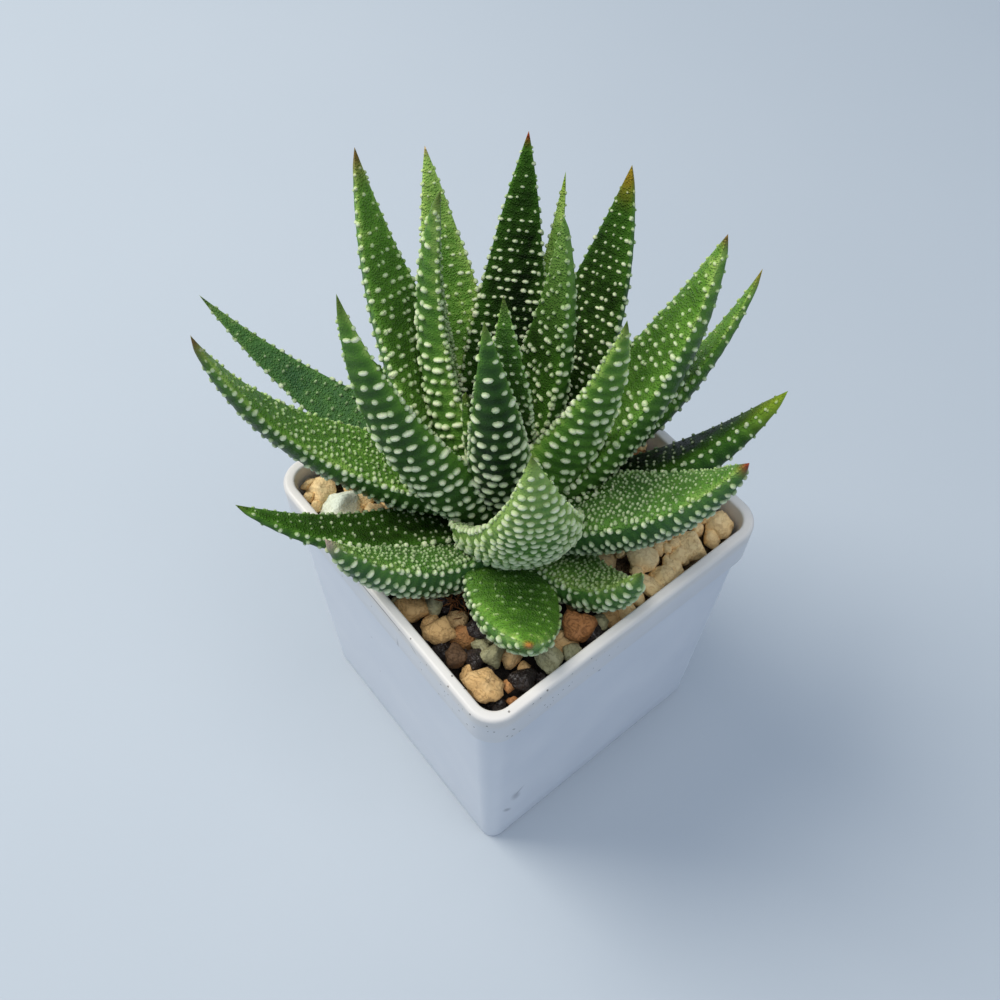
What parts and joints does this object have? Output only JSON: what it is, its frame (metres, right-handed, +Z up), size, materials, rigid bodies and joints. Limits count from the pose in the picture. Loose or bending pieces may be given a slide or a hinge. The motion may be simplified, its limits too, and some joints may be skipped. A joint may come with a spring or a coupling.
{
  "type": "potted haworthia",
  "caption": "Rosette of thick pointed leaves banded with white bumps, on a short stem in a square plastic pot filled with soil and gravel.",
  "frame": {"origin": "centre of the pot's flat underside", "axes": "+Z up out of the pot; the pot's four walls face +X, -X, +Y and -Y"},
  "size_m": [0.092, 0.0949, 0.1415],
  "materials": {
    "pot_plastic": "semi-gloss warm white plastic with a few specks of dirt",
    "soil": "dark damp bark and peat mix",
    "gravel": "mixed matte pebbles",
    "stem": "rough dry stock",
    "leaf": "finely grained waxy green skin with raised white bumps in rows across the leaf",
    "stone_tan": "matte tan pebble",
    "stone_rust": "matte orange-brown pebble",
    "stone_mint": "matte pale grey-green pebble",
    "stone_bark": "dark rough bark chip"
  },
  "bodies": {
    "root": {"pot": "pot_plastic", "soil": "soil", "gravel": "gravel", "stem": "stem", "leaf_01": "leaf", "leaf_02": "leaf", "leaf_03": "leaf", "leaf_04": "leaf", "leaf_05": "leaf", "leaf_06": "leaf", "leaf_07": "leaf", "leaf_08": "leaf", "leaf_09": "leaf", "leaf_10": "leaf", "leaf_11": "leaf", "leaf_12": "leaf", "leaf_13": "leaf", "leaf_14": "leaf", "leaf_15": "leaf", "leaf_16": "leaf", "leaf_17": "leaf", "leaf_18": "leaf", "leaf_19": "leaf", "leaf_20": "leaf", "leaf_21": "leaf", "leaf_22": "leaf", "leaf_23": "leaf", "leaf_24": "leaf", "leaf_25": "leaf", "leaf_26": "leaf", "leaf_27": "leaf", "stone_01": "stone_tan", "stone_02": "stone_tan", "stone_03": "stone_tan", "stone_04": "stone_rust", "stone_05": "stone_mint", "stone_06": "stone_mint", "stone_07": "stone_bark", "stone_08": "stone_rust", "stone_09": "stone_mint", "stone_10": "stone_bark", "stone_11": "stone_tan", "stone_12": "stone_tan", "stone_13": "stone_tan", "stone_14": "stone_tan", "stone_15": "stone_tan", "stone_16": "stone_tan", "stone_17": "stone_tan", "stone_18": "stone_mint", "stone_19": "stone_rust", "stone_20": "stone_tan", "stone_21": "stone_tan", "stone_22": "stone_bark", "stone_23": "stone_mint", "stone_24": "stone_mint"}
  },
  "joints": []
}
